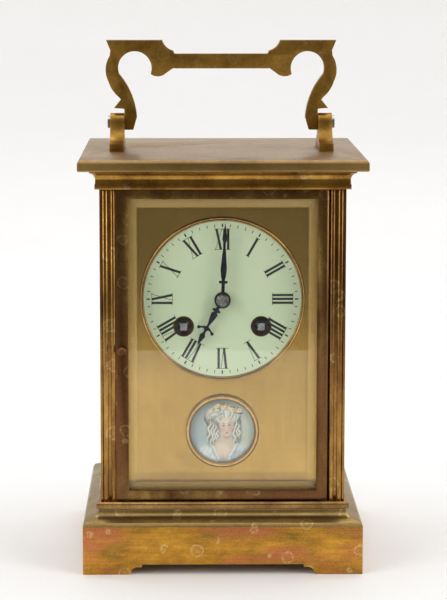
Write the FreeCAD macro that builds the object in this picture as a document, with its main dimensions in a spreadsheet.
"""Front-wound carriage clock: brass case with glazed sides, two doors, carrying handle,
enamel dial over a portrait miniature, and a two-train movement with a platform escapement.

Millimetres.  +X to the right, +Y to the back, +Z up; the origin is the middle of the base, on the table.
"""
import FreeCAD, Part
import Sketcher
import math
import operator
import os
import types
from FreeCAD import Placement, Rotation, Vector

SIZES = {
    # case, overall: the pillars' outer faces set its width and depth
    "case_width": 80.3, "case_depth": 70.3, "pillar_height": 103.8,
    # plinth
    "base_overhang": 5.85, "base_height": 20.7, "face_height": 16.1, "plinth_wall": 5.0, "web_height": 4.0,
    "bevel_inset": 0.7, "bevel_rise": 1.1, "ledge_inset": 3.5, "ledge_rise": 1.1, "neck_inset": 5.1,
    "foot_length": 15.6, "foot_cove": 2.5, "foot_step": 1.3, "arch_height": 3.4,
    # lower rail, cornice and top plate
    "rail_overhang": 1.5, "rail_height": 2.5, "rail_bevel": 0.6, "rail_neck": 0.3,
    "cornice_height": 6.2, "cornice_fillet": 1.5, "cornice_step": 0.2, "cove_start": 2.7,
    "cove_rise": 2.75, "cove_out": 1.85, "cornice_rim": 9.0,
    "cap_overhang": 6.85, "cap_thickness": 3.7, "cap_chamfer": 0.6, "cap_round": 0.5,
    # pillars
    "pillar_side": 5.0, "bead_side": 0.75, "ridge_width": 1.85, "groove_width": 0.95,
    "pillar_step": 0.45, "groove_deep": 0.9, "ridge_round": 0.638, "small_ridge_round": 0.6,
    # glass
    "glass_thick": 2.0, "glass_inset": 2.2, "glass_grip": 1.0, "bevel_wide": 2.75, "bevel_deep": 0.8,
    # doors
    "door_thick": 3.0, "door_side": 4.2, "door_head": 3.1, "door_foot": 3.2, "door_recess": 0.25,
    "door_gap": 0.3, "glass_rim": 1.0, "hinge_radius": 0.6, "hinge_reach": 2.2, "hinge_sink": 2.0,
    "knob_radius": 1.5, "knob_reach": 3.2, "knob_height": 50.5,
    # handle and its brackets
    "handle_inset": 8.875, "handle_thick": 4.0, "leg_width": 2.95, "pivot_rise": 9.2, "pivot_radius": 0.9,
    "handle_rise": 27.7, "bar_drop": 4.6, "bar_deep": 4.9,
    "bracket_gap": 0.15, "bracket_thick": 4.7, "boss_radius": 3.0, "bracket_reach": 10.7,
    "bracket_toe": 2.6, "stud_radius": 1.4, "stud_length": 7.0, "pivot_head": 2.1,
    # dial, miniature and mask
    "mask_recess": 14.0, "mask_thick": 1.2, "mask_gap": 0.4, "dial_height": 66.45, "dial_radius": 26.6,
    "dial_thick": 1.5, "dial_proud": 0.4, "bezel_inner": 26.35, "bezel_outer": 27.2, "bezel_proud": 1.4,
    "dial_hole": 2.3, "winding_hole": 3.45, "winding_spread": 12.8, "winding_drop": 9.15,
    "miniature_height": 22.05, "miniature_radius": 10.9, "miniature_inner": 10.7, "miniature_outer": 12.25,
    "miniature_proud": 1.6, "dial_foot_radius": 1.0,
    # hands
    "minute_length": 25.9, "hour_length": 17.5, "hand_thick": 0.4, "hub_radius": 2.7, "nut_radius": 2.1,
    "minute_angle": 2.0, "hour_angle": 209.0, "hour_lift": 1.6, "minute_lift": 2.7,
    # movement frame
    "plate_thick": 1.6, "plate_gap": 32.0, "plate_width": 60.0, "plate_height": 87.0, "seat_thick": 3.0,
    "motion_room": 5.8, "post_radius": 2.2, "post_inset": 4.0, "screw_radius": 1.0, "screw_head": 2.0,
    "case_screw_radius": 1.1, "case_screw_head": 2.0, "case_screw_length": 12.0, "head_thick": 1.2,
    # wheels: modules, and the pivots that carry them
    "center_module": 0.30, "third_module": 0.26, "contrate_module": 0.25,
    "pin_module": 0.28, "warning_module": 0.25, "cannon_module": 0.32,
    "pivot_small": 0.5, "pivot_play": 0.05, "arbor_radius": 0.75, "wheel_thick": 1.0, "drum_radius": 10.8,
    "square_side": 2.35, "ratchet_radius": 5.0,
    # escapement platform
    "platform_width": 22.0, "platform_thick": 1.4, "balance_radius": 7.2, "escape_radius": 3.2,
    # striking
    "gong_wire": 0.6, "gong_radius": 8.4, "gong_pitch": 2.2, "hammer_radius": 2.2,
}

doc = FreeCAD.newDocument("carriage_clock")
sheet = doc.addObject("Spreadsheet::Sheet", "sizes")
for row, (alias, number) in enumerate(SIZES.items(), start=1):
    sheet.set(f"A{row}", alias)
    sheet.set(f"B{row}", str(number))
    sheet.setAlias(f"B{row}", alias)
doc.recompute()

SIGNS = {"+": operator.add, "-": operator.sub, "*": operator.mul, "/": operator.truediv}


class Size:
    """A driving dimension, or a sum made of them: its number together with its sheet formula."""

    def __init__(self, number, formula):
        self.number = number
        self.formula = formula

    def __add__(self, other):
        return joined(self, "+", other)

    def __radd__(self, other):
        return joined(other, "+", self)

    def __sub__(self, other):
        return joined(self, "-", other)

    def __rsub__(self, other):
        return joined(other, "-", self)

    def __mul__(self, other):
        return joined(self, "*", other)

    def __rmul__(self, other):
        return joined(other, "*", self)

    def __truediv__(self, other):
        return joined(self, "/", other)

    def __neg__(self):
        return joined(-1, "*", self)

    def __float__(self):
        return float(self.number)


def number_of(size):
    return size.number if isinstance(size, Size) else float(size)


def formula_of(size):
    return size.formula if isinstance(size, Size) else repr(size)


def joined(first, sign, second):
    number = SIGNS[sign](number_of(first), number_of(second))
    return Size(number, f"({formula_of(first)} {sign} {formula_of(second)})")


d = types.SimpleNamespace(**{alias: Size(sheet.get(alias), f"sizes.{alias}") for alias in SIZES})

# ---------------------------------------------------------------- levels and places made from the sizes
HALF_WIDTH = d.case_width / 2
HALF_DEPTH = d.case_depth / 2
RAIL_TOP = d.base_height + d.rail_height
PILLAR_TOP = RAIL_TOP + d.pillar_height
CORNICE_TOP = PILLAR_TOP + d.cornice_height
CAP_TOP = CORNICE_TOP + d.cap_thickness
PIVOT_LEVEL = CAP_TOP + d.pivot_rise
HANDLE_HALF = HALF_WIDTH - d.handle_inset       # from the middle to a handle leg's middle
MASK_FRONT = d.mask_recess - HALF_DEPTH - d.base_overhang
MASK_BACK = MASK_FRONT + d.mask_thick
FRONT_PLATE = MASK_BACK + d.motion_room          # the front plate's front face
FRONT_INSIDE = FRONT_PLATE + d.plate_thick
BACK_INSIDE = FRONT_INSIDE + d.plate_gap
BACK_PLATE = BACK_INSIDE + d.plate_thick         # the back plate's back face
SEAT_TOP = RAIL_TOP + d.seat_thick
PLATE_TOP = SEAT_TOP + d.plate_height
DIAL_LEVEL = RAIL_TOP + d.dial_height
MINIATURE_LEVEL = RAIL_TOP + d.miniature_height
WINDING_LEVEL = DIAL_LEVEL - d.winding_drop
DOOR_HALF = HALF_WIDTH - d.pillar_side - d.pivot_play
DOOR_LOW = RAIL_TOP + d.door_gap
DOOR_HIGH = PILLAR_TOP - d.door_gap
HINGE_X = DOOR_HALF - d.door_thick / 2
HINGE_Y = HALF_DEPTH - d.door_recess - d.door_thick / 2
PILLAR_MIDDLE_X = HALF_WIDTH - d.pillar_side / 2
PILLAR_MIDDLE_Y = HALF_DEPTH - d.pillar_side / 2

ORIGIN_PLANES = {"XY": "XY_Plane", "XZ": "XZ_Plane", "YZ": "YZ_Plane"}


# ---------------------------------------------------------------- sketches and features
def bind(thing, field, size):
    """Set a field from the sheet, or as a plain number where no driving dimension is in it."""
    if isinstance(size, Size):
        thing.setExpression(field, size.formula)
    else:
        thing.setExpression(field, repr(float(size)))


def new_body(label):
    body = doc.addObject("PartDesign::Body", label)
    body.Label = label
    return body


def moved(body, x=0, y=0, z=0, turn=0):
    """Stand a body at a place; turn is about its own Y axis, clockwise seen from the front."""
    body.Placement = Placement(Vector(number_of(x), number_of(y), number_of(z)),
                               Rotation(Vector(0, 1, 0), number_of(turn)))
    bind(body, "Placement.Base.x", x)
    bind(body, "Placement.Base.y", y)
    bind(body, "Placement.Base.z", z)
    return body


def pin_point(sketch, edge, end, x, y):
    """Hold one end of an edge at its place by its distances from the sketch's origin."""
    for kind, size in (("DistanceX", x), ("DistanceY", y)):
        number = number_of(size)
        if abs(number) < 1e-9:
            axis = -2 if kind == "DistanceX" else -1
            sketch.addConstraint(Sketcher.Constraint("PointOnObject", edge, end, axis))
            continue
        if number > 0:
            index = sketch.addConstraint(Sketcher.Constraint(kind, -1, 1, edge, end, number))
        else:
            index = sketch.addConstraint(Sketcher.Constraint(kind, edge, end, -1, 1, -number))
            size = -1 * size
        if isinstance(size, Size):
            sketch.setExpression(f"Constraints[{index}]", size.formula)


def arc_middle(start, end, radius, side):
    """The middle of the short arc from start to end; side +1 bulges to the left of the way along it."""
    chord = end - start
    half = chord.Length / 2
    rise = radius - math.sqrt(max(radius * radius - half * half, 0))
    left = Vector(-chord.y, chord.x, 0).normalize()
    return (start + end) * 0.5 + left * (side * rise)


def draw_loop(sketch, loop):
    """A closed outline.  Each corner is (x, y), or (x, y, radius, side) where a round edge leads to it."""
    if loop[0] == "circle":
        x, y, radius = loop[1:]
        circle = Part.Circle(Vector(number_of(x), number_of(y), 0), Vector(0, 0, 1), number_of(radius))
        edge = sketch.addGeometry(circle, False)
        index = sketch.addConstraint(Sketcher.Constraint("Radius", edge, number_of(radius)))
        bind(sketch, f"Constraints[{index}]", radius)
        pin_point(sketch, edge, 3, x, y)
        return
    corners = [Vector(number_of(corner[0]), number_of(corner[1]), 0) for corner in loop]
    edges = []
    starts = []
    for place, corner in enumerate(loop):
        start = corners[place - 1]
        end = corners[place]
        if len(corner) == 2:
            edges.append(sketch.addGeometry(Part.LineSegment(start, end), False))
            starts.append((1, 2))
            continue
        radius, side = corner[2], corner[3]
        middle = arc_middle(start, end, number_of(radius), side)
        edge = sketch.addGeometry(Part.Arc(start, middle, end), False)
        first = sketch.getPoint(edge, 1)
        ends = (1, 2) if (first - start).Length < (first - end).Length else (2, 1)
        edges.append(edge)
        starts.append(ends)
        index = sketch.addConstraint(Sketcher.Constraint("Radius", edge, number_of(radius)))
        bind(sketch, f"Constraints[{index}]", radius)
    for place, corner in enumerate(loop):
        following = (place + 1) % len(loop)
        sketch.addConstraint(Sketcher.Constraint(
            "Coincident", edges[place], starts[place][1], edges[following], starts[following][0]))
        pin_point(sketch, edges[place], starts[place][1], corner[0], corner[1])


def new_sketch(body, name, plane, loops, level):
    """A sketch on one of the body's origin planes, lifted along the plane's normal by level."""
    sketch = body.newObject("Sketcher::SketchObject", name)
    role = ORIGIN_PLANES[plane]
    support = [feature for feature in body.Origin.OriginFeatures if feature.Role == role][0]
    sketch.AttachmentSupport = [(support, "")]
    sketch.MapMode = "FlatFace"
    bind(sketch, "AttachmentOffset.Base.z", level)
    for loop in loops:
        draw_loop(sketch, loop)
    return sketch


def pad(body, name, plane, loops, low, high):
    """Fill the outline from low to high along the plane's axis (Z, Y or X)."""
    level = -1 * high if plane == "XZ" else low
    sketch = new_sketch(body, name + "_sketch", plane, loops, level)
    feature = body.newObject("PartDesign::Pad", name)
    feature.Profile = sketch
    bind(feature, "Length", high - low)
    doc.recompute()
    return feature


def pocket(body, name, plane, loops, low, high):
    """Cut the outline away from low to high, and make sure that it took something off."""
    before = body.Shape.Volume
    level = -1 * low if plane == "XZ" else high
    sketch = new_sketch(body, name + "_sketch", plane, loops, level)
    feature = body.newObject("PartDesign::Pocket", name)
    feature.Profile = sketch
    bind(feature, "Length", high - low)
    doc.recompute()
    if not body.Shape.Volume < before - 1e-6:
        raise ValueError(f"{body.Label}: {name} cuts nothing")
    return feature


def turned(body, name, outline):
    """Turn an outline of (radius, y) corners about the body's Y axis."""
    sketch = new_sketch(body, name + "_sketch", "XY", [outline], 0)
    feature = body.newObject("PartDesign::Revolution", name)
    feature.Profile = sketch
    feature.ReferenceAxis = (sketch, ["V_Axis"])
    feature.Angle = 360
    doc.recompute()
    return feature


def rectangle(left, low, right, high):
    return [(left, low), (right, low), (right, high), (left, high)]


def edges_where(shape, test):
    """The names of the edges whose middle point passes the test."""
    names = []
    for index, edge in enumerate(shape.Edges, start=1):
        if test(edge):
            names.append(f"Edge{index}")
    return names


def upright_at(x):
    """A test for straight vertical edges that stand at x."""
    def test(edge):
        first, last = edge.Vertexes[0].Point, edge.Vertexes[-1].Point
        upright = abs(first.x - last.x) + abs(first.y - last.y) < 1e-6
        return upright and abs(first.x - number_of(x)) < 1e-4
    return test


def fillet(body, name, edges, radius):
    base = body.Tip
    feature = body.newObject("PartDesign::Fillet", name)
    feature.Base = (base, edges)
    bind(feature, "Radius", radius)
    doc.recompute()
    return feature


def made(label, shape, place=None, turn=0):
    """A piece whose shape comes from Part's own functions, stood at its place."""
    piece = doc.addObject("Part::Feature", label)
    piece.Label = label
    piece.Shape = shape
    piece.Placement = Placement(Vector(*[number_of(size) for size in place or (0, 0, 0)]),
                                Rotation(Vector(0, 1, 0), turn))
    return piece


# ---------------------------------------------------------------- case
def moulded_block(label, half_width, half_depth, steps, reach=1.0):
    """A rectangular moulding: steps are (inset, level), or (inset, level, radius, side) after an arc."""
    body = new_body(label)
    rising = [(half_width - step[0], step[1], *step[2:]) for step in steps]
    falling = []
    for place in range(len(steps) - 1, -1, -1):
        after = steps[place + 1] if place + 1 < len(steps) else ()
        falling.append((steps[place][0] - half_width, steps[place][1], *after[2:]))
    pad(body, "block", "XZ", [rising + falling], -1 * half_depth, half_depth)
    low, high = steps[0][1], steps[-1][1]
    for side, name in ((1, "back"), (-1, "front")):
        edge = [(side * (half_depth - step[0]), step[1], *round_side(step, side)) for step in steps]
        outside = side * (half_depth + reach)
        pocket(body, name, "YZ", [edge + [(outside, high), (outside, low)]],
               -1 * (half_width + reach), half_width + reach)
    return body


def round_side(step, side):
    return (step[2], side * step[3]) if len(step) > 2 else ()


def base_plinth():
    half_width = HALF_WIDTH + d.base_overhang
    half_depth = HALF_DEPTH + d.base_overhang
    ledge = d.face_height + d.bevel_rise + d.ledge_rise
    steps = [(0, 0), (0, d.face_height), (d.bevel_inset, d.face_height + d.bevel_rise),
             (d.ledge_inset, ledge), (d.neck_inset, d.base_height, 2.6, 1)]
    body = moulded_block("base_plinth", half_width, half_depth, steps)
    for plane, half, reach in (("XZ", half_width, half_depth), ("YZ", half_depth, half_width)):
        toe = half - d.foot_length
        heel = toe - d.foot_cove
        step = heel - d.foot_step
        cove = d.foot_cove
        arch = [(-1 * toe, 0, cove, -1), (toe, 0), (heel, cove, cove, -1),
                (step, cove), (step, d.arch_height),
                (-1 * step, d.arch_height), (-1 * step, cove), (-1 * heel, cove)]
        pocket(body, f"arch_{plane}", plane, [arch], -1 * reach - 1, reach + 1)
    inner_x = half_width - d.plinth_wall
    inner_y = half_depth - d.plinth_wall
    web = d.base_height - d.web_height
    pocket(body, "hollow", "XY", [rectangle(-1 * inner_x, -1 * inner_y, inner_x, inner_y)], 0, web)
    pocket(body, "screw_holes", "XY", case_screw_holes() + seat_screw_holes(), web, d.base_height)


def corners_of(half_x, half_y):
    return [(sx * half_x, sy * half_y) for sx in (-1, 1) for sy in (-1, 1)]


def case_screw_holes():
    return [("circle", x, y, d.case_screw_radius) for x, y in corners_of(PILLAR_MIDDLE_X, PILLAR_MIDDLE_Y)]


def seat_screw_places():
    middle = (FRONT_PLATE + BACK_PLATE) / 2
    return [(side * d.plate_width / 4, middle) for side in (-1, 1)]


def seat_screw_holes():
    return [("circle", x, y, d.case_screw_radius) for x, y in seat_screw_places()]


def lower_frame():
    half_width = HALF_WIDTH + d.rail_overhang
    half_depth = HALF_DEPTH + d.rail_overhang
    low = d.base_height
    neck = d.base_overhang - d.neck_inset
    sink = d.rail_overhang - neck
    steps = [(sink, low), (sink, low + d.rail_neck), (0, low + d.rail_neck),
             (0, RAIL_TOP - d.rail_bevel), (d.rail_bevel, RAIL_TOP)]
    body = moulded_block("lower_frame", half_width, half_depth, steps)
    pocket(body, "screw_holes", "XY", case_screw_holes() + seat_screw_holes(), low, RAIL_TOP)
    pocket(body, "pin_holes", "XY", hinge_circles(), RAIL_TOP - d.hinge_sink, RAIL_TOP)


def hinge_circles():
    return [("circle", HINGE_X, side * HINGE_Y, d.hinge_radius) for side in (-1, 1)]


GLASS_PLAY = 0.05


def pillar(label, side_x, side_y):
    """A reeded corner pillar: corner bead, wide ridge, groove and narrow ridge on both outer faces."""
    step = d.pillar_step
    ridge_end = d.bead_side + d.ridge_width
    groove_end = ridge_end + d.groove_width
    side = d.pillar_side
    ridge_radius = d.ridge_width * d.ridge_round
    small_ridge_radius = (side - groove_end) * d.small_ridge_round
    slot_low = d.glass_inset - GLASS_PLAY
    slot_high = slot_low + d.glass_thick + 2 * GLASS_PLAY
    face = [(d.bead_side, 0), (d.bead_side, step), (ridge_end, step, ridge_radius, 1),
            (ridge_end, d.groove_deep), (groove_end, d.groove_deep), (groove_end, step),
            (side, step, small_ridge_radius, 1)]
    other_face = [(0, 0)]
    for place in range(len(face) - 1, -1, -1):
        after = face[place + 1][2:] if place + 1 < len(face) else ()
        other_face.insert(len(other_face) - 1, (face[place][1], face[place][0], *after))
    glass_slot = [(slot_high, side), (slot_high, side - d.glass_grip), (slot_low, side - d.glass_grip),
                  (slot_low, side)]
    around = face + [(side, side)] + glass_slot + other_face
    flip = side_x * side_y
    loop = []
    for corner in around:
        x = side_x * (HALF_WIDTH - corner[0])
        y = side_y * (HALF_DEPTH - corner[1])
        loop.append((x, y, corner[2], -flip * corner[3]) if len(corner) > 2 else (x, y))
    body = new_body(label)
    pad(body, "reeding", "XY", [loop], RAIL_TOP, PILLAR_TOP)
    hole = [("circle", side_x * PILLAR_MIDDLE_X, side_y * PILLAR_MIDDLE_Y, d.case_screw_radius)]
    reach = d.case_screw_length - d.web_height - d.rail_height
    pocket(body, "foot_hole", "XY", hole, RAIL_TOP, RAIL_TOP + reach)
    pocket(body, "head_hole", "XY", hole, PILLAR_TOP - reach, PILLAR_TOP)


def upper_frame():
    half_width = HALF_WIDTH + d.rail_overhang - d.cornice_step + d.cove_out
    half_depth = HALF_DEPTH + d.rail_overhang - d.cornice_step + d.cove_out
    sink = d.cove_out - d.cornice_step
    low = PILLAR_TOP
    cove_top = low + d.cove_start + d.cove_rise
    steps = [(sink, low), (sink, low + d.cornice_fillet), (d.cove_out, low + d.cornice_fillet),
             (d.cove_out, low + d.cove_start), (0, cove_top, 2.4, 1), (0, CORNICE_TOP)]
    body = moulded_block("upper_frame", half_width, half_depth, steps)
    inner_x = HALF_WIDTH - d.cornice_rim
    inner_y = HALF_DEPTH - d.cornice_rim
    pocket(body, "hollow", "XY", [rectangle(-1 * inner_x, -1 * inner_y, inner_x, inner_y)], low, CORNICE_TOP)
    pocket(body, "screw_holes", "XY", case_screw_holes(), low, CORNICE_TOP)
    seat = CORNICE_TOP - d.case_screw_head
    heads = [("circle", x, y, d.case_screw_head) for x, y in corners_of(PILLAR_MIDDLE_X, PILLAR_MIDDLE_Y)]
    pocket(body, "head_seats", "XY", heads, seat, CORNICE_TOP)
    pocket(body, "pin_holes", "XY", hinge_circles(), low, low + d.hinge_sink)
    stud_end = CORNICE_TOP - d.stud_length + d.cap_thickness
    pocket(body, "stud_holes", "XY", stud_circles(), stud_end, CORNICE_TOP)


BRACKET_INNER = HANDLE_HALF + d.leg_width / 2 + d.bracket_gap
BRACKET_MIDDLE = BRACKET_INNER + d.bracket_thick / 2


def stud_circles():
    return [("circle", side * BRACKET_MIDDLE, 0, d.stud_radius) for side in (-1, 1)]


def top_plate():
    steps = [(d.cap_round, CORNICE_TOP), (0, CORNICE_TOP + d.cap_round, d.cap_round, -1),
             (0, CAP_TOP - d.cap_chamfer * 1.6), (d.cap_chamfer, CAP_TOP)]
    body = moulded_block("top_plate", HALF_WIDTH + d.cap_overhang, HALF_DEPTH + d.cap_overhang, steps)
    pocket(body, "stud_holes", "XY", stud_circles(), CORNICE_TOP, CAP_TOP)


def screw(radius, length, head_radius, head_thick, slot_wide=0.5, slot_deep=0.5):
    """A slotted screw along +Z, its head's underside at the origin and its head below."""
    shank = Part.makeCylinder(radius, length)
    head = Part.makeCylinder(head_radius, head_thick, Vector(0, 0, -head_thick))
    slot = Part.makeBox(3 * head_radius, slot_wide, slot_deep,
                        Vector(-1.5 * head_radius, -slot_wide / 2, -head_thick))
    return shank.fuse(head).cut(slot).removeSplitter()


def placed(shape, x, y, z, axis=Vector(0, 0, 1), angle=0.0):
    copy = shape.copy()
    copy.Placement = Placement(Vector(x, y, z), Rotation(axis, angle)).multiply(copy.Placement)
    return copy


def case_screws():
    """Screws up through the plinth into the pillars and the seat, and down through the cornice."""
    radius = float(d.case_screw_radius)
    reach = float(d.case_screw_length)
    one = screw(radius, reach, float(d.case_screw_head), float(d.head_thick))
    seat_one = screw(radius, float(d.web_height + d.rail_height + d.seat_thick) - 0.5,
                     float(d.case_screw_head), float(d.head_thick))
    web = float(d.base_height - d.web_height)
    seat = float(CORNICE_TOP - d.case_screw_head)
    pieces = []
    for x, y in corners_of(float(PILLAR_MIDDLE_X), float(PILLAR_MIDDLE_Y)):
        pieces.append(placed(one, x, y, web))
        top = screw(radius, seat - float(PILLAR_TOP) + 5, float(d.case_screw_head), float(d.head_thick))
        pieces.append(placed(top, x, y, seat, Vector(1, 0, 0), 180))
    for x, y in seat_screw_places():
        pieces.append(placed(seat_one, float(x), float(y), web))
    made("case_screws", Part.makeCompound(pieces))


def bevelled_glass(label, plane, middle, low, high, half, face_level, outward):
    """A pane with bevelled front edges; outward is the sign of its front along the plane's axis."""
    body = new_body(label)
    grip = d.bevel_wide + d.glass_grip
    back = face_level - outward * d.glass_thick
    shoulder = face_level - outward * d.bevel_deep
    rim = rectangle(middle - half, low, middle + half, high)
    field = rectangle(middle - half + grip, low + grip, middle + half - grip, high - grip)
    if outward > 0:
        pad(body, "pane", plane, [rim], back, shoulder)
    else:
        pad(body, "pane", plane, [rim], shoulder, back)
    sign = -1 if plane == "XZ" else 1
    first = new_sketch(body, "shoulder", plane, [rim], sign * shoulder)
    second = new_sketch(body, "field", plane, [field], sign * face_level)
    loft = body.newObject("PartDesign::AdditiveLoft", "bevel")
    loft.Profile = first
    loft.Sections = [second]
    doc.recompute()
    return body


def side_glasses():
    """The side panes stand in the pillars' slots and between the rail and the cornice."""
    half = HALF_DEPTH - d.pillar_side + d.glass_grip - 0.05
    for label, side in (("side_glass_left", -1), ("side_glass_right", 1)):
        face = side * (HALF_WIDTH - d.glass_inset)
        bevelled_glass(label, "YZ", 0, RAIL_TOP, PILLAR_TOP, half, face, side)


# ---------------------------------------------------------------- doors
def door(name, side):
    """A glazed door between the pillars, hinged at the right; side is -1 in front and +1 behind."""
    aperture_half = DOOR_HALF - d.door_side
    aperture_low = DOOR_LOW + d.door_foot
    aperture_high = DOOR_HIGH - d.door_head
    outer = side * (HALF_DEPTH - d.door_recess)
    inner = outer - side * d.door_thick
    low, high = (outer, inner) if side < 0 else (inner, outer)
    frame = new_body(f"{name}_door_frame")
    pad(frame, "rails", "XZ", [rectangle(-1 * DOOR_HALF, DOOR_LOW, DOOR_HALF, DOOR_HIGH)], low, high)
    fillet(frame, "hinge_edge", edges_where(frame.Shape, upright_at(DOOR_HALF)), d.door_thick / 2 - 0.02)
    window = rectangle(-1 * aperture_half, aperture_low, aperture_half, aperture_high)
    pocket(frame, "window", "XZ", [window], low, high)
    rim = d.glass_rim
    rebate = rectangle(-1 * aperture_half - rim, aperture_low - rim, aperture_half + rim, aperture_high + rim)
    lip = outer - side * d.glass_rim
    rebate_low, rebate_high = (lip, high) if side < 0 else (low, lip)
    pocket(frame, "rebate", "XZ", [rebate], rebate_low, rebate_high)
    hinge = [("circle", HINGE_X, side * HINGE_Y, d.hinge_radius + d.pivot_play)]
    pocket(frame, "foot_bore", "XY", hinge, DOOR_LOW, DOOR_LOW + d.hinge_reach)
    pocket(frame, "head_bore", "XY", hinge, DOOR_HIGH - d.hinge_reach, DOOR_HIGH)
    bevelled_glass(f"{name}_door_glass", "XZ", 0, aperture_low - rim + 0.05, aperture_high + rim - 0.05,
                   aperture_half + rim - 0.05, lip, side)
    knob = new_body(f"{name}_door_knob")
    reach = d.knob_reach
    turned(knob, "knob", [(0, 0), (d.knob_radius * 0.55, 0), (d.knob_radius * 0.55, reach * 0.35),
                          (d.knob_radius, reach * 0.55), (d.knob_radius, reach * 0.8),
                          (d.knob_radius * 0.6, reach), (0, reach)])
    knob_x = d.door_side / 2 - DOOR_HALF
    moved(knob, knob_x, outer, RAIL_TOP + d.knob_height)
    if side < 0:
        knob.Placement.Rotation = Rotation(Vector(0, 0, 1), 180)
    pins = []
    length = float(d.hinge_reach + d.hinge_sink + d.door_gap) - 0.3
    for low_end in (float(RAIL_TOP - d.hinge_sink), float(PILLAR_TOP + d.hinge_sink) - length):
        pins.append(Part.makeCylinder(float(d.hinge_radius), length, Vector(0, 0, low_end)))
    made(f"{name}_hinge_pins", Part.makeCompound(pins), (HINGE_X, side * HINGE_Y, 0))


# ---------------------------------------------------------------- carrying handle
def mirrored_back(points):
    """The way back along the mirror image of an outline, from its last corner to its first."""
    back = []
    for place in range(len(points) - 1, -1, -1):
        after = points[place + 1] if place + 1 < len(points) else ()
        back.append((-1 * points[place][0], points[place][1], *after[2:]))
    return back


def carrying_handle():
    """A flat bail with scrolled shoulders; its outline is given from a leg's middle and the pivot."""
    leg = HANDLE_HALF
    foot = d.leg_width / 2
    pivot = PIVOT_LEVEL
    top = PIVOT_LEVEL + d.handle_rise
    bar = top - d.bar_drop
    scroll = 5.76
    shoulder = [(leg - 15.5, bar), (leg - 15.0, bar + 1.05), (leg - 11.3, top, 5.05, -1), (leg + 7.6, top),
                (leg + 6.2, pivot + 24.3), (leg + 6.4, pivot + 22.5), (leg + 6.9, pivot + 13.8, 8.8, 1),
                (leg + 3.4, pivot + 8.5, 10.9, 1), (leg + 2.7, pivot + 7.6), (leg + 5.0, pivot + 4.8),
                (leg + foot + 0.05, pivot + 4.5)]
    lower = [(leg + foot, pivot - 2.6), (leg - foot, pivot - 2.6), (leg - 2.7, pivot + 1.7)]
    inside = [(leg + 3.3, pivot + 16.3, 25.5, 1), (leg - 1.8, pivot + 24.0, scroll, -1),
              (leg - 7.4, pivot + 16.3, scroll, -1), (leg - 12.2, pivot + 16.3, 4.0, 1),
              (leg - 15.0, bar - d.bar_deep + 0.1), (leg - 15.5, bar - d.bar_deep)]
    right = shoulder + lower + inside
    body = new_body("carrying_handle")
    half = d.handle_thick / 2
    pad(body, "bail", "XZ", [right + mirrored_back(right)], -1 * half, half)
    bore = [("circle", 0, pivot, d.pivot_radius + d.pivot_play)]
    pocket(body, "pivot_bore", "YZ", bore, -1 * leg - 2 * foot, leg + 2 * foot)


def handle_brackets():
    """Each bracket is a round boss on a flared foot, with a stud down through the top plate."""
    toe = CAP_TOP + d.bracket_toe
    boss = d.boss_radius
    flare = d.bracket_reach - boss
    sweep = PIVOT_LEVEL - toe
    for label, side in (("handle_bracket_left", -1), ("handle_bracket_right", 1)):
        low, high = sorted((side * BRACKET_INNER, side * (BRACKET_INNER + d.bracket_thick)), key=number_of)
        body = new_body(label)
        outline = [(d.bracket_reach, CAP_TOP), (d.bracket_reach, toe),
                   (boss, PIVOT_LEVEL, (flare + sweep) / 1.9, 1), (0, PIVOT_LEVEL + boss, boss, -1),
                   (-1 * boss, PIVOT_LEVEL, boss, -1), (-1 * d.bracket_reach, toe, (flare + sweep) / 1.9, 1),
                   (-1 * d.bracket_reach, CAP_TOP)]
        pad(body, "cheek", "YZ", [outline], low, high)
        stud = [("circle", side * BRACKET_MIDDLE, 0, d.stud_radius)]
        pad(body, "stud", "XY", stud, CAP_TOP - d.stud_length, CAP_TOP + 1)
        pocket(body, "pivot_hole", "YZ", [("circle", 0, PIVOT_LEVEL, d.pivot_radius)], low, high)


def handle_pivot_screws():
    """Shoulder screws through the brackets; each plain end is the pin that a leg turns on."""
    pieces = []
    length = float(d.bracket_thick + d.bracket_gap + d.leg_width) - 0.2
    one = screw(float(d.pivot_radius), length, float(d.pivot_head), 0.9)
    outer = float(BRACKET_INNER + d.bracket_thick)
    for side in (-1, 1):
        pieces.append(placed(one, side * outer, 0, float(PIVOT_LEVEL), Vector(0, 1, 0), -90 * side))
    made("handle_pivot_screws", Part.makeCompound(pieces))


# ---------------------------------------------------------------- dial and mask
MASK_HALF = HALF_WIDTH - d.pillar_side - d.mask_gap
MASK_LOW = RAIL_TOP + d.mask_gap
MASK_HIGH = PILLAR_TOP - d.mask_gap
FRONT_FACE = MASK_FRONT - d.dial_proud
WINDINGS = [(side * d.winding_spread, WINDING_LEVEL) for side in (-1, 1)]


def dial_mask():
    """The gilt plate round the dial, held off the movement's front plate by four feet."""
    body = new_body("dial_mask")
    outline = rectangle(-1 * MASK_HALF, MASK_LOW, MASK_HALF, MASK_HIGH)
    pad(body, "plate", "XZ", [outline], MASK_FRONT, MASK_BACK)
    openings = [("circle", 0, DIAL_LEVEL, d.dial_radius + 0.05),
                ("circle", 0, MINIATURE_LEVEL, d.miniature_radius + 0.05)]
    pocket(body, "openings", "XZ", openings, MASK_FRONT, MASK_BACK)
    feet = []
    for side in (-1, 1):
        for level in (SEAT_TOP + 16, PLATE_TOP - 3.5):
            feet.append(("circle", side * (d.plate_width / 2 - 9.5), level, d.dial_foot_radius))
    pad(body, "feet", "XZ", feet, MASK_BACK, FRONT_PLATE)


def enamel_dial():
    body = new_body("enamel_dial")
    back = FRONT_FACE + d.dial_thick
    holes = [("circle", x, z, d.winding_hole) for x, z in WINDINGS]
    loops = [("circle", 0, DIAL_LEVEL, d.dial_radius), ("circle", 0, DIAL_LEVEL, d.dial_hole)] + holes
    pad(body, "plate", "XZ", loops, FRONT_FACE, back)


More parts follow.
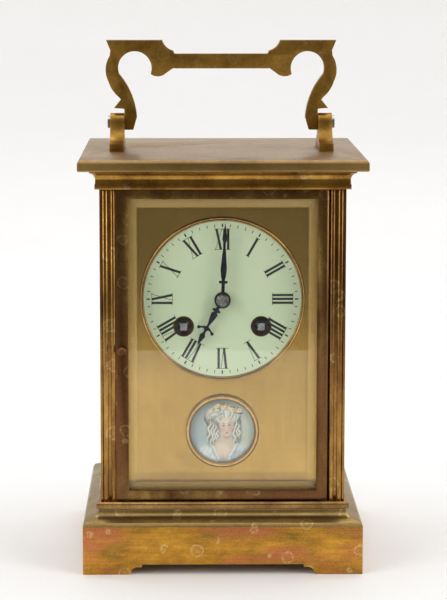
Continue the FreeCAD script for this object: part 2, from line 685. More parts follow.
def miniature_portrait():
    body = new_body("miniature_portrait")
    disc = [("circle", 0, MINIATURE_LEVEL, d.miniature_radius)]
    pad(body, "disc", "XZ", disc, MASK_FRONT - 0.1, MASK_BACK)


def bezel(label, level, inner, outer, seat, proud):
    """A half-round ring that stands on the mask and laps over the rim of what it frames."""
    body = new_body(label)
    front = MASK_FRONT - proud
    shoulder = (outer - inner) * 0.3
    turned(body, "ring", [(outer, MASK_FRONT), (inner + shoulder, MASK_FRONT), (inner + shoulder, seat),
                          (inner, seat), (inner, front + 0.5), (inner + shoulder, front),
                          (outer - shoulder, front), (outer, front + 0.5)])
    moved(body, 0, 0, level)


# ---------------------------------------------------------------- hands
def hand_outline(length, hub, half_points):
    """A hand that points along +Z: half_points are (half width, level) from the hub to the tip."""
    right = [(width, level) for width, level in half_points]
    left = [(-1 * width, level) for width, level in reversed(half_points)]
    return right + [(0, length)] + left


def minute_hand():
    body = new_body("minute_hand")
    length = d.minute_length
    low = FRONT_FACE - d.minute_lift - d.hand_thick
    high = FRONT_FACE - d.minute_lift
    half = [(0.55, d.hub_radius * 0.8), (0.55, 5.6), (1.45, 5.75), (1.45, 6.45), (0.45, 6.6), (0.75, 7.6),
            (1.05, 10.2), (0.8, 13.5), (0.38, 18.0), (0.38, 19.0), (0.85, 20.3), (0.5, 22.8), (0.18, 24.6)]
    pad(body, "hub", "XZ", [("circle", 0, 0, d.hub_radius)], low, high)
    pad(body, "blade", "XZ", [hand_outline(length, d.hub_radius, half)], low, high)
    pocket(body, "hole", "XZ", [("circle", 0, 0, 1.3)], low, high)
    moved(body, 0, 0, DIAL_LEVEL, d.minute_angle)


def hour_hand():
    body = new_body("hour_hand")
    length = d.hour_length
    low = FRONT_FACE - d.hour_lift - d.hand_thick
    high = FRONT_FACE - d.hour_lift
    half = [(0.55, d.hub_radius * 0.8), (0.55, 3.6), (1.4, 3.75), (1.4, 4.4), (0.5, 4.6), (1.15, 5.4),
            (0.85, 7.4), (0.4, 9.2), (0.4, 10.2), (1.3, 10.5), (1.3, 11.1), (0.45, 11.5), (0.4, 12.6),
            (1.0, 13.6), (0.5, 15.6), (0.18, 16.6)]
    pad(body, "hub", "XZ", [("circle", 0, 0, d.hub_radius)], low, high)
    pad(body, "blade", "XZ", [hand_outline(length, d.hub_radius, half)], low, high)
    for name, side in (("left_scroll", -1), ("right_scroll", 1)):
        arm = [(side * 1.0, 10.5), (side * 2.5, 11.2), (side * 2.3, 11.8), (side * 1.0, 11.1)]
        pad(body, name, "XZ", [arm], low, high)
        pad(body, name + "_end", "XZ", [("circle", side * 2.5, 11.6, 0.55)], low, high)
    pocket(body, "hole", "XZ", [("circle", 0, 0, 1.95)], low, high)
    moved(body, 0, 0, DIAL_LEVEL, d.hour_angle)


def hand_nut():
    """The domed nut that holds the minute hand on the cannon pinion."""
    body = new_body("hand_nut")
    back = FRONT_FACE - d.minute_lift - d.hand_thick
    front = back - 0.9
    turned(body, "dome", [(0, back), (d.nut_radius, back), (d.nut_radius, back - 0.35),
                          (d.nut_radius - 0.5, front), (0, front)])
    moved(body, 0, 0, DIAL_LEVEL)


# ---------------------------------------------------------------- toothed wheels
def around(radius, degrees):
    """A point of a wheel that lies across Y; degrees run clockwise from the top, seen from the front."""
    angle = math.radians(degrees)
    return Vector(radius * math.sin(angle), 0, radius * math.cos(angle))


def toothed_disc(teeth, module, thick, phase):
    """A spur wheel from y = 0 to y = thick; one tooth stands at the phase angle."""
    pitch_radius = teeth * module / 2
    tip = pitch_radius + 0.8 * module
    root = pitch_radius - 1.25 * module
    step = 360 / teeth
    points = []
    for tooth in range(teeth):
        middle = phase + tooth * step
        root_share, pitch_share, tip_share = (0.31, 0.19, 0.08) if teeth > 20 else (0.20, 0.17, 0.07)
        for radius, share in ((root, -root_share), (pitch_radius, -pitch_share), (tip, -tip_share),
                              (tip, tip_share), (pitch_radius, pitch_share), (root, root_share)):
            points.append(around(radius, middle + share * step))
    points.append(points[0])
    return Part.Face(Part.makePolygon(points)).extrude(Vector(0, thick, 0))


def mesh_phase(teeth, phase, direction, other_teeth):
    """The phase of a wheel that meshes with another whose centre lies the other way along direction."""
    share = 0.5 - (direction - phase) * teeth / 360
    return direction + 180 - share * 360 / other_teeth


def direction_of(first, second):
    """The clockwise angle from the top of the way from the first centre to the second."""
    return math.degrees(math.atan2(second[0] - first[0], second[1] - first[1]))


def rod(radius, low, high):
    return Part.makeCylinder(radius, high - low, Vector(0, low, 0), Vector(0, 1, 0))


def shifted(shape, y):
    copy = shape.copy()
    copy.translate(Vector(0, y, 0))
    return copy


def crossed_out(disc, rim, hub, thick, spokes=4, spoke_width=1.2):
    """The disc with windows between its rim and hub, leaving straight spokes."""
    window = rod(rim, -0.1, thick + 0.1).cut(rod(hub, -0.2, thick + 0.2))
    for spoke in range(spokes):
        bar = Part.makeBox(spoke_width, thick + 1, 2 * rim, Vector(-spoke_width / 2, -0.5, 0))
        bar.rotate(Vector(0, 0, 0), Vector(0, 1, 0), spoke * 360 / spokes)
        window = window.cut(bar)
    return disc.cut(window)


def fused(pieces):
    whole = pieces[0].multiFuse(pieces[1:])
    return whole.removeSplitter()


MODULE = {name: float(getattr(d, name + "_module")) for name in
          ("center", "third", "contrate", "pin", "warning", "cannon")}
TEETH = {"great": 80, "leaf": 10, "center": 80, "third": 75, "contrate": 60, "escape_leaf": 6,
         "pin": 72, "warning": 60, "warning_leaf": 8, "cannon": 12, "minute": 36, "minute_leaf": 10,
         "hour": 40, "escape": 15, "ratchet": 24}


def distance(module, teeth, other_teeth):
    return MODULE[module] * (TEETH[teeth] + TEETH[other_teeth]) / 2


def third_place(first, reach, second, second_reach, side):
    """The point at the two given distances from two centres, on the chosen side of their line."""
    dx, dz = second[0] - first[0], second[1] - first[1]
    apart = math.hypot(dx, dz)
    along = (reach ** 2 - second_reach ** 2 + apart ** 2) / (2 * apart)
    off = math.sqrt(reach ** 2 - along ** 2)
    return (first[0] + (dx * along - side * dz * off) / apart,
            first[1] + (dz * along + side * dx * off) / apart)


# Centres of the arbors, as (x, level).
CENTER = (0.0, float(DIAL_LEVEL))
GOING = (float(d.winding_spread), float(WINDING_LEVEL))
STRIKE = (-GOING[0], GOING[1])
GREAT_REACH = math.dist(CENTER, GOING)
MODULE["great"] = 2 * GREAT_REACH / (TEETH["great"] + TEETH["leaf"])
CONTRATE = (0.0, CENTER[1] + 14.35)
THIRD = third_place(CENTER, distance("center", "center", "leaf"),
                    CONTRATE, distance("third", "third", "leaf"), 1)


def place_from(centre, reach, turn):
    """The point at a reach from a centre; turn is in degrees clockwise from the top."""
    angle = math.radians(turn)
    return (centre[0] + reach * math.sin(angle), centre[1] + reach * math.cos(angle))


PIN_WHEEL = place_from(STRIKE, GREAT_REACH, 146)
WARNING = place_from(PIN_WHEEL, distance("pin", "pin", "warning_leaf"), 103)
FLY = place_from(WARNING, distance("warning", "warning", "warning_leaf"), 150)
MINUTE_WHEEL = (0.0, CENTER[1] + distance("cannon", "cannon", "minute"))
HAMMER = (22.0, float(SEAT_TOP) + 19.0)
FRONT_IN = float(FRONT_INSIDE)
BACK_IN = float(BACK_INSIDE)
PIVOT = float(d.pivot_small)
SHAFT = float(d.arbor_radius)
THICK = float(d.wheel_thick)
PLAY = float(d.pivot_play)
END_SHAKE = 0.3
PIVOT_REACH = 1.4

# Depths of the wheels between the plates, measured back from the front plate's inside.
GOING_GREAT_AT = FRONT_IN + 1.0
STRIKE_GREAT_AT = FRONT_IN + 19.4
CENTER_AT = FRONT_IN + 25.4
THIRD_AT = FRONT_IN + 28.4
CROWN_AT = FRONT_IN + 14.4
WARNING_AT = FRONT_IN + 22.4
GREAT_THICK = 1.2
DRUM_LONG = 18.0
CROWN_RADIUS = MODULE["contrate"] * TEETH["contrate"] / 2
CROWN_TALL = 0.5


def arbor():
    """A plain arbor between the plates with a pivot at each end."""
    return [rod(SHAFT, FRONT_IN + END_SHAKE, BACK_IN - END_SHAKE),
            rod(PIVOT, FRONT_IN - PIVOT_REACH, BACK_IN + PIVOT_REACH)]


def wheel(teeth, module, depth, phase, thick=THICK, hub=2.4):
    """A crossed-out wheel with its collet, its front face at the depth."""
    disc = toothed_disc(teeth, module, thick, phase)
    root = teeth * module / 2 - 1.15 * module
    disc = crossed_out(disc, root - 1.3, hub, thick)
    return [shifted(disc, depth), rod(1.6, depth - 0.6, depth + thick + 0.6)]


def leaves(teeth, module, depth, thick, phase):
    return shifted(toothed_disc(teeth, module, thick, phase), depth - thick / 2 + THICK / 2)


def barrel(label, place, great_at, drum_low, phase):
    """A spring drum with its great wheel, hollow inside, turning on the winding arbor."""
    great = shifted(toothed_disc(TEETH["great"], MODULE["great"], GREAT_THICK, phase), great_at)
    radius = float(d.drum_radius)
    drum = rod(radius, drum_low, drum_low + DRUM_LONG)
    hollow = rod(radius - 0.8, drum_low + 1.0, drum_low + DRUM_LONG - 1.0)
    bore = rod(ARBOR_BORE, drum_low - 3, drum_low + DRUM_LONG + 3)
    made(label, fused([great, drum]).cut(hollow).cut(bore), (place[0], 0, place[1]))


WINDING_SHAFT = 1.6
ARBOR_BORE = WINDING_SHAFT + PLAY
RATCHET_AT = float(FRONT_PLATE) - 1.5
RATCHET_THICK = 1.0


def winding_arbor(label, place):
    """The barrel arbor: key square in front of the dial, ratchet wheel, and a pivot in the back plate."""
    radius = float(d.ratchet_radius)
    side = float(d.square_side)
    square_front = float(FRONT_FACE) - 1.0
    points = []
    step = 360 / TEETH["ratchet"]
    for tooth in range(TEETH["ratchet"]):
        points.append(around(radius, tooth * step))
        points.append(around(radius - 0.8, tooth * step + 0.12 * step))
    points.append(points[0])
    ratchet = Part.Face(Part.makePolygon(points)).extrude(Vector(0, RATCHET_THICK, 0))
    square = Part.makeBox(side, RATCHET_AT - square_front, side, Vector(-side / 2, square_front, -side / 2))
    shaft = rod(WINDING_SHAFT, RATCHET_AT - 0.6, BACK_IN - END_SHAKE)
    pivot = rod(1.0, BACK_IN - 1, BACK_IN + PIVOT_REACH)
    made(label, fused([shaft, pivot, shifted(ratchet, RATCHET_AT), square]), (place[0], 0, place[1]))


CLICK_REACH = float(d.ratchet_radius) + 3.0
CLICK_ANGLE = 140
BEAK_ANGLE = 100


def click_pivot(place, side):
    pivot = around(CLICK_REACH, side * CLICK_ANGLE)
    return (place[0] + pivot.x, place[1] + pivot.z)


def click(label, place, side):
    """The pawl beside a ratchet wheel, its beak just clear of the tooth tips."""
    beak = around(float(d.ratchet_radius) + 0.55, side * BEAK_ANGLE) - around(CLICK_REACH, side * CLICK_ANGLE)
    across = Vector(beak.z, 0, -beak.x).normalize()
    corners = [across * 0.8, beak + across * 0.35, beak - across * 0.35, across * -0.8, across * 0.8]
    arm = Part.Face(Part.makePolygon(corners)).extrude(Vector(0, RATCHET_THICK, 0))
    boss = rod(1.3, 0, RATCHET_THICK)
    shape = fused([arm, boss]).cut(rod(0.6 + PLAY, -1, 3))
    pivot = click_pivot(place, side)
    made(label, shape, (pivot[0], RATCHET_AT, pivot[1]))


def center_wheel():
    """The hour-turning arbor: its front end carries the cannon pinion, its back end is the setting square."""
    square = 1.5
    front = float(FRONT_FACE - d.minute_lift - d.hand_thick) + 0.4
    back = float(BACK_PLATE)
    pieces = [rod(SHAFT, FRONT_IN + END_SHAKE, BACK_IN - END_SHAKE), rod(0.75, front, back + 1.0),
              Part.makeBox(square, 3.5, square, Vector(-square / 2, back + 0.8, -square / 2)),
              leaves(TEETH["leaf"], MODULE["great"], GOING_GREAT_AT, 2.0, 0)]
    pieces += wheel(TEETH["center"], MODULE["center"], CENTER_AT, 0)
    made("center_wheel", fused(pieces), (CENTER[0], 0, CENTER[1]))


def train_wheel(label, place, wheel_pieces, pinion):
    made(label, fused(arbor() + wheel_pieces + [pinion]), (place[0], 0, place[1]))


def going_train():
    great_phase = mesh_phase(TEETH["leaf"], 0, direction_of(CENTER, GOING), TEETH["great"])
    barrel("going_barrel", GOING, GOING_GREAT_AT, GOING_GREAT_AT + GREAT_THICK, great_phase)
    center_wheel()
    third_phase = mesh_phase(TEETH["center"], 0, direction_of(CENTER, THIRD), TEETH["leaf"])
    train_wheel("third_wheel", THIRD, wheel(TEETH["third"], MODULE["third"], THIRD_AT, 0),
                leaves(TEETH["leaf"], MODULE["center"], CENTER_AT, 2.0, third_phase))
    contrate_phase = mesh_phase(TEETH["third"], 0, direction_of(THIRD, CONTRATE), TEETH["leaf"])
    train_wheel("contrate_wheel", CONTRATE, crown_wheel(),
                leaves(TEETH["leaf"], MODULE["third"], THIRD_AT, 2.0, contrate_phase))


def crown_wheel():
    """A wheel whose teeth stand forward from its rim, to turn the upright escape arbor."""
    radius = CROWN_RADIUS
    rim = rod(radius + 0.5, CROWN_AT, CROWN_AT + 1.8).cut(rod(radius - 0.5, CROWN_AT - 1, CROWN_AT + 1.0))
    disc = crossed_out(rod(radius, 0, 0.8), radius - 1.3, 2.0, 0.8)
    tooth = Part.Face(Part.makePolygon([
        Vector(-0.17, CROWN_AT + 0.1, 0), Vector(-0.07, CROWN_AT - CROWN_TALL, 0),
        Vector(0.07, CROWN_AT - CROWN_TALL, 0), Vector(0.17, CROWN_AT + 0.1, 0),
        Vector(-0.17, CROWN_AT + 0.1, 0)])).extrude(Vector(0, 0, 0.8))
    tooth.translate(Vector(0, 0, radius - 0.4))
    teeth = []
    for index in range(TEETH["contrate"]):
        copy = tooth.copy()
        copy.rotate(Vector(0, 0, 0), Vector(0, 1, 0), index * 360 / TEETH["contrate"])
        teeth.append(copy)
    rim = rim.cut(rod(radius - 1.3, CROWN_AT - 1, CROWN_AT + 3))
    return [rim.multiFuse(teeth), shifted(disc, CROWN_AT + 1.0), rod(1.6, CROWN_AT + 0.4, CROWN_AT + 2.4)]


# ---------------------------------------------------------------- escapement platform
PLATFORM_LOW = float(PLATE_TOP)
PLATFORM_HIGH = float(PLATE_TOP + d.platform_thick)
ESCAPE_PINION_RADIUS = MODULE["contrate"] * TEETH["escape_leaf"] / 2
ESCAPE = (0.0, CROWN_AT - CROWN_TALL / 2 - ESCAPE_PINION_RADIUS)
LEVER = (0.0, ESCAPE[1] + 4.9)
BALANCE = (0.0, ESCAPE[1] + 7.7)
LEVER_LOW = PLATFORM_HIGH + 0.8
BALANCE_LOW = PLATFORM_HIGH + 3.4
COCK_LOW = BALANCE_LOW + 2.4


def upright(radius, low, high, x=0.0, y=0.0):
    return Part.makeCylinder(radius, high - low, Vector(x, y, low))


def platform_plate():
    """The escapement's own plate across the tops of the movement plates, with a potence below."""
    body = new_body("platform_plate")
    half = d.platform_width / 2
    plate = rectangle(-1 * half, FRONT_PLATE, half, BACK_PLATE)
    pad(body, "plate", "XY", [plate], PLATE_TOP, PLATE_TOP + d.platform_thick)
    potence = [(ESCAPE[1] - 3.5, PLATE_TOP), (ESCAPE[1] - 3.5, PLATE_TOP - 4.2),
               (ESCAPE[1] + 0.6, PLATE_TOP - 4.2), (ESCAPE[1] + 0.6, PLATE_TOP - 3.4),
               (ESCAPE[1] - 2.5, PLATE_TOP - 3.4), (ESCAPE[1] - 2.5, PLATE_TOP)]
    pad(body, "potence", "YZ", [potence], -1.0, 1.0)
    pocket(body, "escape_hole", "XY", [("circle", *ESCAPE, SHAFT)], PLATE_TOP, PLATE_TOP + d.platform_thick)
    pocket(body, "escape_foot", "XY", [("circle", *ESCAPE, 0.25 + PLAY)], PLATE_TOP - 4.2, PLATE_TOP - 3.4)
    jewels = [("circle", *LEVER, 0.25 + PLAY), ("circle", *BALANCE, 0.25 + PLAY)]
    pocket(body, "jewel_holes", "XY", jewels, PLATE_TOP, PLATE_TOP + d.platform_thick)


def escape_wheel():
    """Fifteen pointed teeth over a six-leaved pinion that hangs down to the crown teeth."""
    radius = float(d.escape_radius)
    step = 360 / TEETH["escape"]
    points = []
    for tooth in range(TEETH["escape"]):
        for reach, turn in ((radius, 0), (radius - 0.85, 0.28 * step), (radius - 0.85, 0.8 * step)):
            angle = math.radians(tooth * step + turn + 6)
            points.append(Vector(reach * math.sin(angle), reach * math.cos(angle), LEVER_LOW))
    points.append(points[0])
    disc = Part.Face(Part.makePolygon(points)).extrude(Vector(0, 0, 0.5))
    pinion = toothed_disc(TEETH["escape_leaf"], MODULE["contrate"], 1.3, 30)
    pinion.rotate(Vector(0, 0, 0), Vector(1, 0, 0), 90)
    pinion.translate(Vector(0, 0, CONTRATE[1] + CROWN_RADIUS + 0.65 - 1.3))
    low = PLATFORM_LOW - 3.4
    shaft = upright(0.38, low + 0.15, LEVER_LOW + 1.0)
    staff = upright(0.25, low - 0.6, LEVER_LOW + 1.6)
    made("escape_wheel", fused([disc, pinion, shaft, staff]), (*ESCAPE, 0))


def lever():
    """The anchor: two pallet arms astride the escape wheel and a fork towards the balance."""
    reach = LEVER[1] - ESCAPE[1]
    radius = float(d.escape_radius) + 0.15
    pieces = [upright(0.7, LEVER_LOW, LEVER_LOW + 0.5), upright(0.25, PLATFORM_HIGH - 0.8, LEVER_LOW + 1.2),
              Part.makeBox(0.5, 1.6, 0.5, Vector(-0.25, 0, LEVER_LOW))]
    for side in (-1, 1):
        angle = math.radians(30)
        pallet = Vector(side * radius * math.sin(angle), radius * math.cos(angle) - reach, LEVER_LOW)
        outside = pallet + Vector(side * 0.55, 0.4, 0)
        corners = [Vector(0, 0.4, LEVER_LOW), outside + Vector(0, 0.3, 0), outside, pallet,
                   pallet + Vector(side * -0.1, 0.45, 0),
                   Vector(0, -0.4, LEVER_LOW), Vector(0, 0.4, LEVER_LOW)]
        pieces.append(Part.Face(Part.makePolygon(corners)).extrude(Vector(0, 0, 0.5)))
        pieces.append(Part.makeBox(0.25, 0.7, 0.5, Vector(side * 0.4 - 0.125, 1.5, LEVER_LOW)))
    pieces.append(Part.makeBox(1.05, 0.3, 0.5, Vector(-0.525, 1.4, LEVER_LOW)))
    made("lever", fused(pieces), (*LEVER, 0))


def balance_wheel():
    radius = float(d.balance_radius)
    inside = upright(radius - 0.8, BALANCE_LOW - 1, BALANCE_LOW + 2)
    rim = upright(radius, BALANCE_LOW, BALANCE_LOW + 0.9).cut(inside)
    pieces = [rim, Part.makeBox(1.0, 2 * radius - 1, 0.6, Vector(-0.5, 0.5 - radius, BALANCE_LOW)),
              upright(0.9, BALANCE_LOW - 0.2, BALANCE_LOW + 0.8),
              upright(0.35, PLATFORM_HIGH + 0.15, COCK_LOW - 0.15),
              upright(0.25, PLATFORM_HIGH - 0.8, COCK_LOW + 0.8),
              upright(1.3, LEVER_LOW + 0.9, LEVER_LOW + 1.2),
              upright(0.7, BALANCE_LOW + 1.1, BALANCE_LOW + 1.6)]
    for index in range(12):
        head = Part.makeCylinder(0.3, 0.6, Vector(radius - 0.2, 0, BALANCE_LOW + 0.45), Vector(1, 0, 0))
        head.rotate(Vector(0, 0, 0), Vector(0, 0, 1), 15 + index * 30)
        pieces.append(head)
    made("balance_wheel", fused(pieces), (*BALANCE, 0))


def hairspring():
    """A flat spiral of fine strip from the collet out to its stud on the cock."""
    turns, inner, pitch = 5, 0.85, 0.55
    outer_points = []
    inner_points = []
    for index in range(turns * 24 + 1):
        angle = math.radians(index * 15)
        reach = inner + pitch * index / 24
        way = Vector(math.cos(angle), math.sin(angle), 0)
        outer_points.append(way * (reach + 0.05))
        inner_points.append(way * (reach - 0.05))
    edges = [Part.BSplineCurve(), Part.BSplineCurve()]
    edges[0].interpolate(outer_points)
    edges[1].interpolate(inner_points)
    ends = [Part.makeLine(outer_points[0], inner_points[0]),
            Part.makeLine(outer_points[-1], inner_points[-1])]
    outline = Part.Wire(Part.__sortEdges__([edges[0].toShape(), ends[1], edges[1].toShape(), ends[0]]))
    strip = Part.Face(outline).extrude(Vector(0, 0, 0.3))
    made("hairspring", strip, (*BALANCE, BALANCE_LOW + 1.2))


def balance_cock():
    """The bridge over the balance, screwed to the platform behind it."""
    body = new_body("balance_cock")
    foot_front = BALANCE[1] + d.balance_radius + 0.9
    foot_back = foot_front + 3.2
    side_view = [(foot_front, PLATFORM_HIGH), (foot_back, PLATFORM_HIGH), (foot_back, COCK_LOW + 1.2),
                 (BALANCE[1] - 1.5, COCK_LOW + 1.2), (BALANCE[1] - 1.5, COCK_LOW), (foot_front, COCK_LOW)]
    pad(body, "bridge", "YZ", [side_view], -1.8, 1.8)
    pocket(body, "jewel", "XY", [("circle", *BALANCE, 0.25 + PLAY)], COCK_LOW, COCK_LOW + 1.2)
    pocket(body, "screw_seat", "XY", [("circle", 0, foot_back - 1.7, 1.1)], COCK_LOW + 0.6, COCK_LOW + 1.2)


# ---------------------------------------------------------------- striking
PIN_COUNT = 8
PIN_RADIUS = 0.35
PIN_LONG = 2.4
PIN_CIRCLE = 8.9


def strike_train():
    great_phase = mesh_phase(TEETH["leaf"], 0, direction_of(PIN_WHEEL, STRIKE), TEETH["great"])
    barrel("strike_barrel", STRIKE, STRIKE_GREAT_AT, STRIKE_GREAT_AT - DRUM_LONG, great_phase)
    pins = []
    for turn in range(PIN_COUNT):
        pin = rod(PIN_RADIUS, THIRD_AT, THIRD_AT + PIN_LONG)
        pin.translate(around(PIN_CIRCLE, (turn + 0.5) * 360 / PIN_COUNT))
        pins.append(pin)
    pin_pieces = wheel(TEETH["pin"], MODULE["pin"], THIRD_AT, 0) + pins
    train_wheel("strike_pin_wheel", PIN_WHEEL, pin_pieces,
                leaves(TEETH["leaf"], MODULE["great"], STRIKE_GREAT_AT, 2.0, 0))
    warning_phase = mesh_phase(TEETH["pin"], 0, direction_of(PIN_WHEEL, WARNING), TEETH["warning_leaf"])
    train_wheel("strike_warning_wheel", WARNING, wheel(TEETH["warning"], MODULE["warning"], WARNING_AT, 0),
                leaves(TEETH["warning_leaf"], MODULE["pin"], THIRD_AT, 2.0, warning_phase))
    fly_phase = mesh_phase(TEETH["warning"], 0, direction_of(WARNING, FLY), TEETH["warning_leaf"])
    vanes = [Part.makeBox(11.0, 9.0, 0.4, Vector(-5.5, FRONT_IN + 6, -0.2))]
    train_wheel("strike_fly", FLY, vanes,
                leaves(TEETH["warning_leaf"], MODULE["warning"], WARNING_AT, 2.0, fly_phase))


GONG_LEVEL = float(SEAT_TOP) + 36.0
GONG_AT = float(BACK_PLATE) + 4.8
GONG_TURNS = 4
GONG_OUTER = float(d.gong_radius) + GONG_TURNS * float(d.gong_pitch)


def gong():
    """A flat coil of round wire, its outer end going down into the block."""
    half_pitch = float(d.gong_pitch) / 2
    start = Vector(4.0, 0, -GONG_OUTER)
    edges = [Part.makeLine(start, Vector(0, 0, -GONG_OUTER))]
    reach = GONG_OUTER
    for half_turn in range(2 * GONG_TURNS):
        sign = -1 if half_turn % 2 == 0 else 1
        following = reach - half_pitch
        first = Vector(0, 0, sign * reach)
        last = Vector(0, 0, -sign * following)
        middle = Vector(sign * (reach + following) / 2, 0, (first.z + last.z) / 2)
        edges.append(Part.Arc(first, middle, last).toShape())
        reach = following
    path = Part.Wire(edges)
    profile = Part.Wire(Part.Circle(start, Vector(1, 0, 0), float(d.gong_wire)).toShape())
    coil = path.makePipeShell([profile], True, True)
    made("gong", coil, (0, GONG_AT, GONG_LEVEL))
    block = Part.makeBox(5.0, GONG_AT + 2 - float(BACK_PLATE), 6.0,
                         Vector(1.5, float(BACK_PLATE), GONG_LEVEL - GONG_OUTER - 3.0))
    made("gong_block", block.cut(doc.getObject("gong").Shape))


def hammer():
    """The strike hammer: an arbor through both plates and a head beside the gong's outer coil."""
    head_radius = float(d.hammer_radius)
    head_x = GONG_OUTER + float(d.gong_wire) + 0.5 - HAMMER[0]
    head_z = GONG_LEVEL - HAMMER[1]
    arm_at = float(BACK_PLATE) + 1.2
    arm = Part.Face(Part.makePolygon([
        Vector(-0.9, arm_at, 0), Vector(head_x + 1.2, arm_at, head_z), Vector(head_x + 2.8, arm_at, head_z),
        Vector(0.9, arm_at, 0), Vector(-0.9, arm_at, 0)])).extrude(Vector(0, 1.4, 0))
    head_end = Vector(head_x, arm_at + 1.2 + head_radius, head_z)
    head = Part.makeCylinder(head_radius, 4.0, head_end, Vector(1, 0, 0))
    pieces = [rod(SHAFT, FRONT_IN + END_SHAKE, arm_at + 1.4), rod(PIVOT, FRONT_IN - PIVOT_REACH, 0),
              rod(1.9, arm_at, arm_at + 1.4), arm, head]
    made("hammer", fused(pieces), (HAMMER[0], 0, HAMMER[1]))


# ---------------------------------------------------------------- motion work
MINUTE_AT = float(FRONT_PLATE) - 1.9
HOUR_AT = float(FRONT_PLATE) - 3.6
HOUR_MODULE = 2 * distance("cannon", "cannon", "minute") / (TEETH["minute_leaf"] + TEETH["hour"])


def motion_work():
    """Cannon pinion, minute wheel and hour wheel: twelve to one between the two hands."""
    front = float(FRONT_FACE - d.minute_lift - d.hand_thick)
    cannon = fused([rod(1.3, front, float(FRONT_PLATE) - 0.3),
                    shifted(toothed_disc(TEETH["cannon"], MODULE["cannon"], 1.4, 0), MINUTE_AT - 0.2)])
    made("cannon_pinion", cannon.cut(rod(0.8, front - 1, 0)), (CENTER[0], 0, CENTER[1]))
    phase = mesh_phase(TEETH["cannon"], 0, 0, TEETH["minute"])
    minute = fused([shifted(toothed_disc(TEETH["minute"], MODULE["cannon"], THICK, phase), MINUTE_AT),
                    shifted(toothed_disc(TEETH["minute_leaf"], HOUR_MODULE, 2.1, 0), MINUTE_AT - 2.0)])
    made("minute_wheel", minute.cut(rod(0.8 + PLAY, -60, 0)), (MINUTE_WHEEL[0], 0, MINUTE_WHEEL[1]))
    phase = mesh_phase(TEETH["minute_leaf"], 0, 180, TEETH["hour"])
    pipe_front = float(FRONT_FACE - d.hour_lift - d.hand_thick)
    hour = fused([shifted(toothed_disc(TEETH["hour"], HOUR_MODULE, THICK, phase), HOUR_AT),
                  rod(1.9, pipe_front, HOUR_AT + THICK)])
    made("hour_wheel", hour.cut(rod(1.3 + PLAY, -60, 0)), (CENTER[0], 0, CENTER[1]))


# ---------------------------------------------------------------- movement frame
TRAIN_PLACES = [THIRD, CONTRATE, PIN_WHEEL, WARNING, FLY]
POSTS = [(sx * (d.plate_width / 2 - d.post_inset), level) for sx in (-1, 1)
         for level in (SEAT_TOP + d.post_inset, PLATE_TOP - d.post_inset)]
CLICK_SIDES = ((GOING, 1), (STRIKE, -1))


def movement_plate(label, low, high, center_hole, winding_hole, hammer_hole):
    body = new_body(label)
    half = d.plate_width / 2
    pad(body, "plate", "XZ", [rectangle(-1 * half, SEAT_TOP, half, PLATE_TOP)], low, high)
    holes = [("circle", x, z, d.pivot_small + d.pivot_play) for x, z in TRAIN_PLACES]
    holes += [("circle", *CENTER, center_hole), ("circle", *HAMMER, hammer_hole)]
    holes += [("circle", x, z, winding_hole) for x, z in (GOING, STRIKE)]
    holes += [("circle", x, z, d.screw_radius) for x, z in POSTS]
    pocket(body, "holes", "XZ", holes, low, high)
    return body


def movement_plates():
    front = movement_plate("front_movement_plate", FRONT_PLATE, FRONT_INSIDE,
                           0.75 + PLAY, ARBOR_BORE, PIVOT + PLAY)
    pad(front, "minute_stud", "XZ", [("circle", *MINUTE_WHEEL, 0.8)], MINUTE_AT - 2.2, FRONT_PLATE)
    studs = [("circle", *click_pivot(place, side), 0.6) for place, side in CLICK_SIDES]
    pad(front, "click_studs", "XZ", studs, RATCHET_AT - 0.3, FRONT_PLATE)
    movement_plate("back_movement_plate", BACK_INSIDE, BACK_PLATE, 0.75 + PLAY, 1.0 + PLAY, SHAFT + PLAY)


def movement_pillars():
    length = float(d.plate_gap)
    hole = 4.0
    post = rod(float(d.post_radius), 0, length)
    post = post.cut(rod(float(d.screw_radius), -1, hole))
    post = post.cut(rod(float(d.screw_radius), length - hole, length + 1))
    pieces = [placed(post, float(x), FRONT_IN, float(z)) for x, z in POSTS]
    made("movement_pillars", Part.makeCompound(pieces))


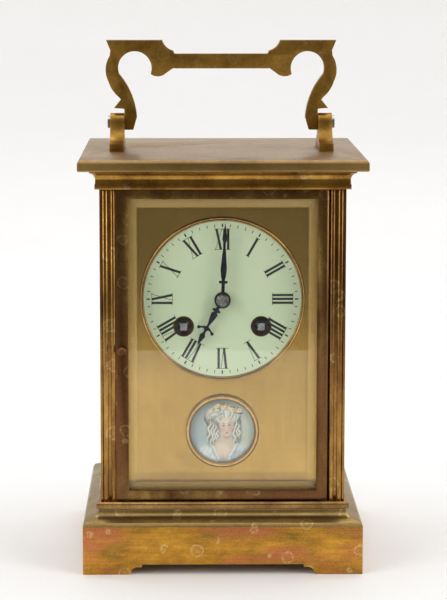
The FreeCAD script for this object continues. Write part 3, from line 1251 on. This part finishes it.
def plate_screws():
    one = screw(float(d.screw_radius), float(d.plate_thick) + 3.5, float(d.screw_head), 1.0)
    pieces = []
    for x, z in POSTS:
        pieces.append(placed(one, float(x), float(FRONT_PLATE), float(z), Vector(1, 0, 0), -90))
        pieces.append(placed(one, float(x), float(BACK_PLATE), float(z), Vector(1, 0, 0), 90))
    made("plate_screws", Part.makeCompound(pieces))


def movement_seat():
    body = new_body("movement_seat")
    half = d.plate_width / 2
    pad(body, "block", "XY", [rectangle(-1 * half, FRONT_PLATE, half, BACK_PLATE)], RAIL_TOP, SEAT_TOP)
    pocket(body, "screw_holes", "XY", seat_screw_holes(), RAIL_TOP, SEAT_TOP)


# ---------------------------------------------------------------- the whole clock
base_plinth()
lower_frame()
for label, side_x, side_y in (("pillar_front_left", -1, -1), ("pillar_front_right", 1, -1),
                              ("pillar_back_left", -1, 1), ("pillar_back_right", 1, 1)):
    pillar(label, side_x, side_y)
upper_frame()
top_plate()
case_screws()
side_glasses()
door("front", -1)
door("back", 1)
carrying_handle()
handle_brackets()
handle_pivot_screws()
dial_mask()
enamel_dial()
miniature_portrait()
bezel("dial_bezel", DIAL_LEVEL, d.bezel_inner, d.bezel_outer, FRONT_FACE, d.bezel_proud)
bezel("miniature_bezel", MINIATURE_LEVEL, d.miniature_inner, d.miniature_outer,
      MASK_FRONT - 0.1, d.miniature_proud)
minute_hand()
hour_hand()
hand_nut()
movement_plates()
movement_pillars()
plate_screws()
movement_seat()
going_train()
winding_arbor("going_winding_arbor", GOING)
winding_arbor("strike_winding_arbor", STRIKE)
click("going_click", GOING, 1)
click("strike_click", STRIKE, -1)
platform_plate()
escape_wheel()
lever()
balance_wheel()
hairspring()
balance_cock()
strike_train()
gong()
hammer()
motion_work()
doc.recompute()

# ---------------------------------------------------------------- checks, and one file for each piece
for thing in doc.Objects:
    if "Invalid" in thing.State or "Error" in thing.State:
        raise ValueError(f"{thing.Label} failed to build")
pieces = [thing for thing in doc.Objects if thing.TypeId in ("PartDesign::Body", "Part::Feature")]
os.makedirs("parts", exist_ok=True)
for piece in pieces:
    if piece.Shape.isNull() or not piece.Shape.isValid():
        raise ValueError(f"{piece.Label} has no sound shape")
    piece.Shape.exportStep(f"parts/{piece.Label}.step")
print(len(pieces), "pieces")
